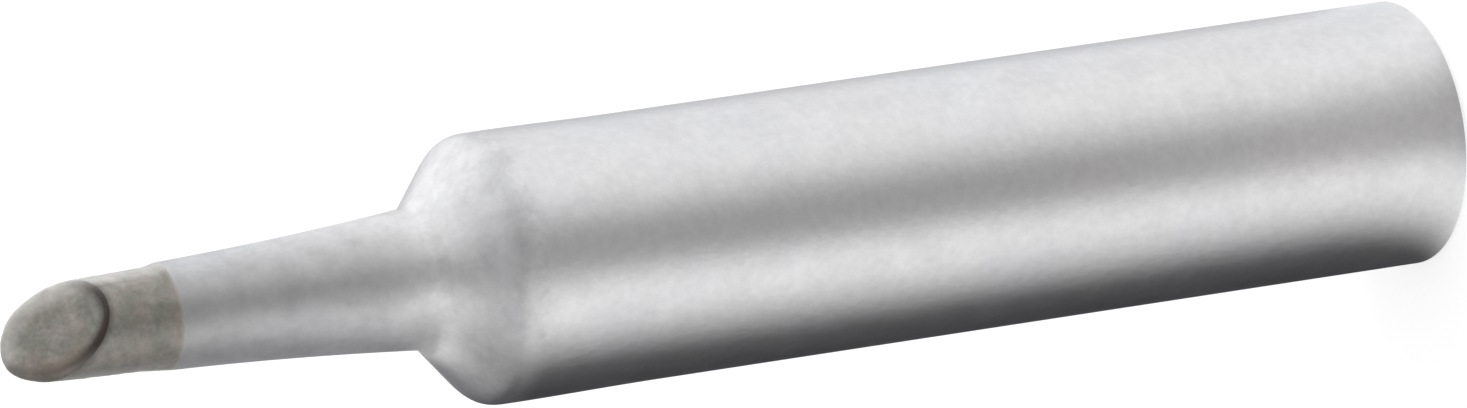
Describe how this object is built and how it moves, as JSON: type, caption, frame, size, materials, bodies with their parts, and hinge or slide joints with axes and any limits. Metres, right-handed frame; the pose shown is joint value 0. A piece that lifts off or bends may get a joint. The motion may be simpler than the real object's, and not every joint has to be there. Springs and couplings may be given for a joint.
{
  "type": "soldering iron tip",
  "caption": "Slip-on soldering iron tip: hollow plated barrel with a blind heater bore, sloping shoulder, flared neck and a tinned round end cut to a bevel.",
  "frame": {"origin": "centre of the heater bore's mouth, on the flat back rim", "axes": "+Z along the axis towards the working end; the bevel's low side faces -Y and its nose is on +Y"},
  "size_m": [0.0066, 0.0066, 0.0377],
  "materials": {
    "plated_tip": "satin plating with faint stains, and a dull tinned coat on the bevelled end"
  },
  "bodies": {
    "root": {"soldering_tip": "plated_tip"}
  },
  "joints": []
}
